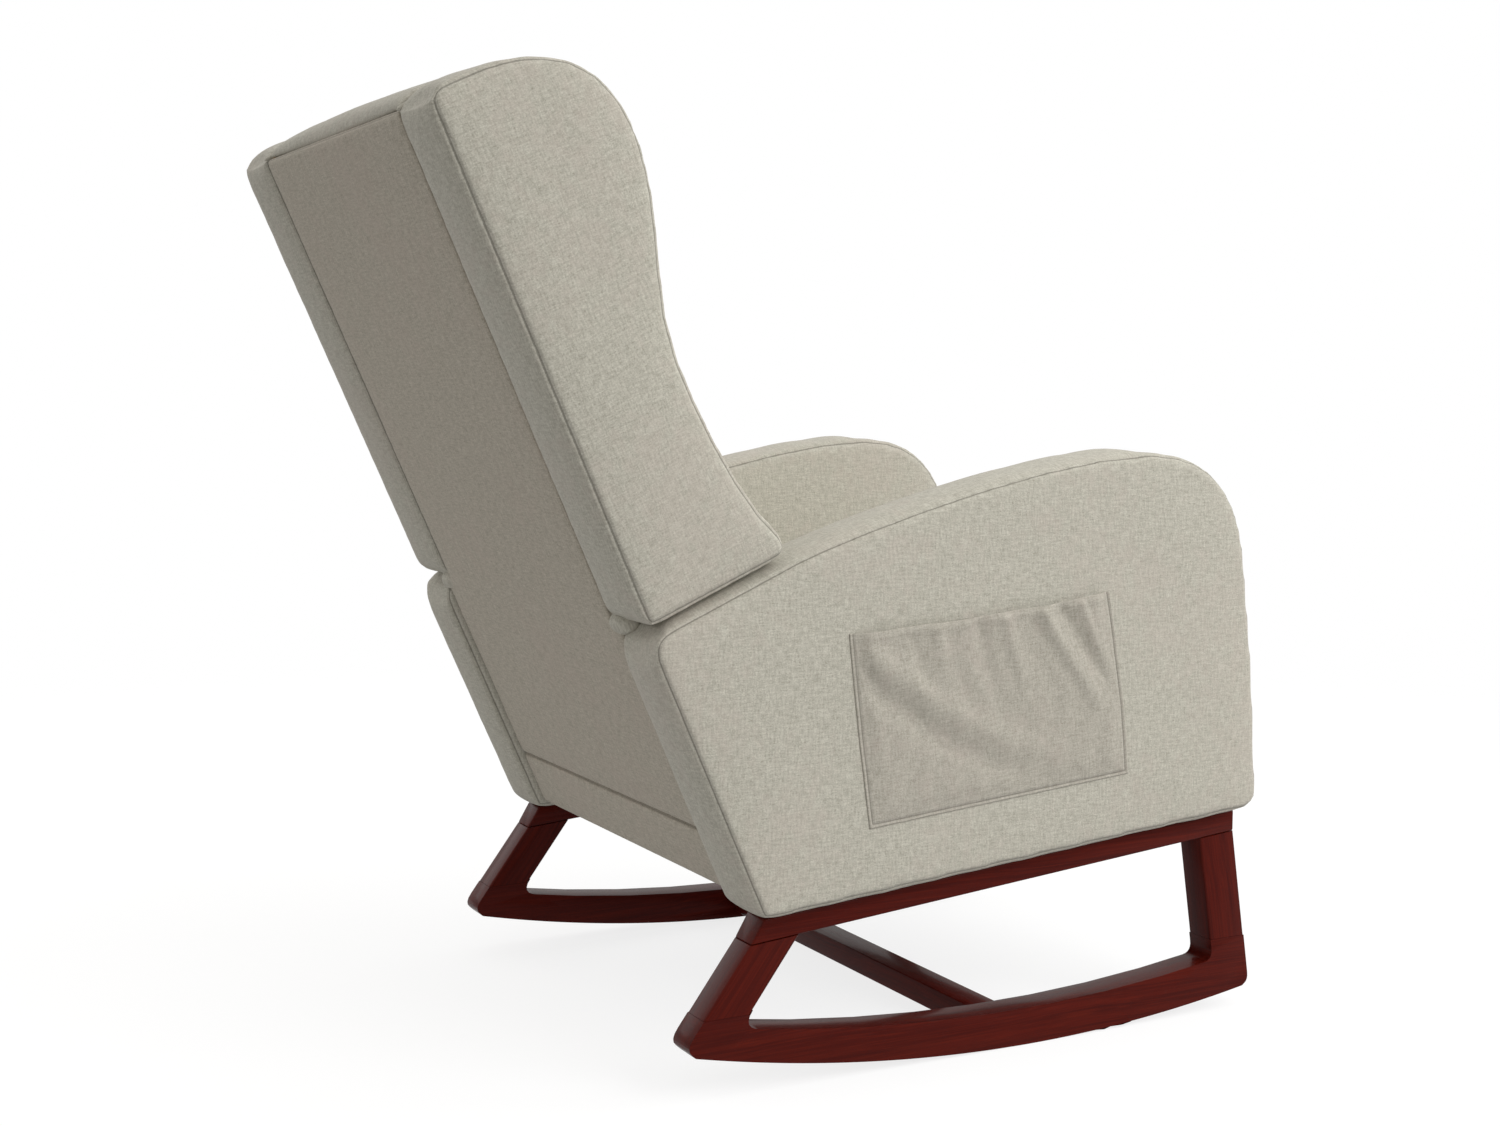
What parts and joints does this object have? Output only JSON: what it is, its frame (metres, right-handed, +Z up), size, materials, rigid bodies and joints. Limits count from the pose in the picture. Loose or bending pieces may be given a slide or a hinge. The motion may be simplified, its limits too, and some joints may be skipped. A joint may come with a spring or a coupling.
{
  "type": "rocking chair",
  "caption": "Upholstered wingback rocking chair with padded arms, side pockets, and curved wooden runners under closed side frames.",
  "frame": {"origin": "centre of the bounding box at the height of the floor", "axes": "+Z up, -Y towards the front of the seat, +X to the sitter's left"},
  "size_m": [0.6976, 0.9687, 1.0053],
  "materials": {
    "cherry_wood": "dark cherry stain with a satin lacquer",
    "bare_wood": "unfinished softwood and plywood",
    "linen": "woven beige-grey linen with slubs over foam",
    "webbing": "black woven webbing and lining cloth",
    "steel": "zinc-plated steel fasteners and spring wire"
  },
  "bodies": {
    "root": {"left_runner": "cherry_wood", "left_side_rail": "cherry_wood", "left_front_leg": "cherry_wood", "left_front_foot_dowel": "bare_wood", "left_front_head_dowel": "bare_wood", "left_front_rail_bolt": "steel", "left_front_seat_screw": "steel", "left_rear_leg": "cherry_wood", "left_rear_foot_dowel": "bare_wood", "left_rear_head_dowel": "bare_wood", "left_rear_rail_bolt": "steel", "left_rear_seat_screw": "steel", "left_stretcher_dowel": "bare_wood", "left_arm_base_rail": "bare_wood", "left_arm_panel": "bare_wood", "left_arm_pad": "linen", "left_wing_frame": "bare_wood", "left_wing_pad": "linen", "left_back_post": "bare_wood", "left_seat_side_rail": "bare_wood", "left_side_pocket": "linen", "right_runner": "cherry_wood", "right_side_rail": "cherry_wood", "right_front_leg": "cherry_wood", "right_front_foot_dowel": "bare_wood", "right_front_head_dowel": "bare_wood", "right_front_rail_bolt": "steel", "right_front_seat_screw": "steel", "right_rear_leg": "cherry_wood", "right_rear_foot_dowel": "bare_wood", "right_rear_head_dowel": "bare_wood", "right_rear_rail_bolt": "steel", "right_rear_seat_screw": "steel", "right_stretcher_dowel": "bare_wood", "right_arm_base_rail": "bare_wood", "right_arm_panel": "bare_wood", "right_arm_pad": "linen", "right_wing_frame": "bare_wood", "right_wing_pad": "linen", "right_back_post": "bare_wood", "right_seat_side_rail": "bare_wood", "right_side_pocket": "linen", "stretcher": "cherry_wood", "outside_back_panel": "linen", "lower_back_panel": "linen", "back_top_rail": "bare_wood", "back_bottom_rail": "bare_wood", "back_strap_1": "webbing", "back_strap_2": "webbing", "inside_back_pad": "linen", "seat_front_rail": "bare_wood", "seat_rear_rail": "bare_wood", "seat_spring_1": "steel", "seat_spring_2": "steel", "seat_spring_3": "steel", "seat_spring_4": "steel", "seat_cushion": "linen", "front_border": "linen", "dust_cover": "webbing"}
  },
  "joints": []
}
